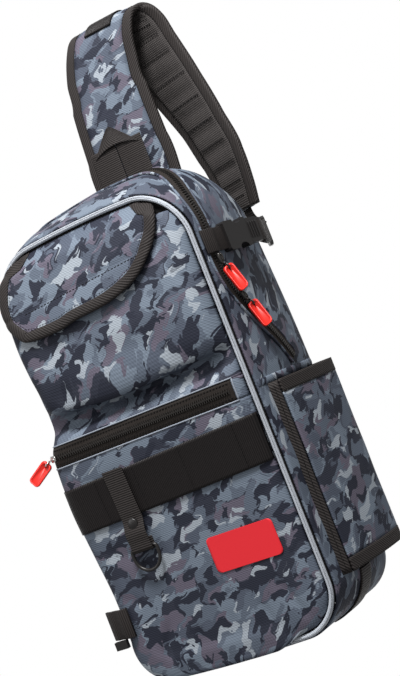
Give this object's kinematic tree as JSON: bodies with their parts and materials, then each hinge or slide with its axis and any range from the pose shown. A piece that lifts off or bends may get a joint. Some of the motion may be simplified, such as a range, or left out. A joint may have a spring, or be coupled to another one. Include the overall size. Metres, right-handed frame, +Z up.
{
  "type": "fishing tackle sling bag",
  "caption": "Upright soft sling bag with one padded shoulder strap, flap pocket, zip pocket, webbing band, D-ring and open side pocket.",
  "frame": {"origin": "the point under the crest of the shoulder strap where the bag hangs", "axes": "+Z up the bag, from its base to the strap; -Y out of the front with the pockets; +X to the side with the buckle and the open side pocket"},
  "size_m": [0.3125, 0.2595, 0.7173],
  "materials": {
    "camo": null,
    "air_mesh": "black spacer mesh",
    "piping": "silver grey piping, satin",
    "binding": "black grey woven tape",
    "webbing": "ribbed black polypropylene webbing",
    "black_plastic": "black moulded plastic, satin",
    "dark_metal": "gunmetal",
    "red_rubber": "bright red soft rubber, satin"
  },
  "bodies": {
    "bag": {"gusset": "camo", "front_panel": "camo", "lower_pocket": "camo", "upper_pocket": "camo", "pocket_zip_end": "camo", "flap": "camo", "seam_band": "camo", "side_pocket": "camo", "side_pocket_floor": "camo", "strap_pad": "camo", "back_panel": "air_mesh", "strap_lining": "air_mesh", "front_piping": "piping", "back_piping": "piping", "flap_binding": "binding", "pocket_zip_tape": "binding", "main_zip_tape": "binding", "side_pocket_top": "binding", "side_pocket_low": "binding", "side_pocket_front": "binding", "strap_binding_left": "binding", "strap_binding_right": "binding", "web_band": "webbing", "hang_tab": "webbing", "side_tab": "webbing", "lock_webbing": "webbing", "corner_web": "webbing", "corner_tab": "webbing", "strap_keeper": "webbing", "strap_tail": "webbing", "hang_loop_left": "webbing", "hang_loop_right": "webbing", "hang_loop_tip": "webbing", "pocket_zip_coil": "black_plastic", "main_zip_coil": "black_plastic", "buckle_socket": "black_plastic", "buckle_plug": "black_plastic", "ladder_lock": "black_plastic", "corner_buckle": "black_plastic", "snap_cap": "dark_metal", "main_upper_slider": "dark_metal", "main_upper_ring": "dark_metal", "main_lower_slider": "dark_metal", "main_lower_ring": "dark_metal", "pocket_slider": "dark_metal", "pocket_ring": "dark_metal", "front_label": "red_rubber", "main_upper_pull": "red_rubber", "main_lower_pull": "red_rubber", "pocket_pull": "red_rubber"},
    "d_ring": {"d_ring": "black_plastic"}
  },
  "joints": [
    {"name": "d_ring_swing", "type": "hinge", "parent": "bag", "child": "d_ring", "pos_m": [-0.086, -0.2086, -0.56], "axis": [-1, 0, 0], "range_deg": [0, 140]}
  ]
}
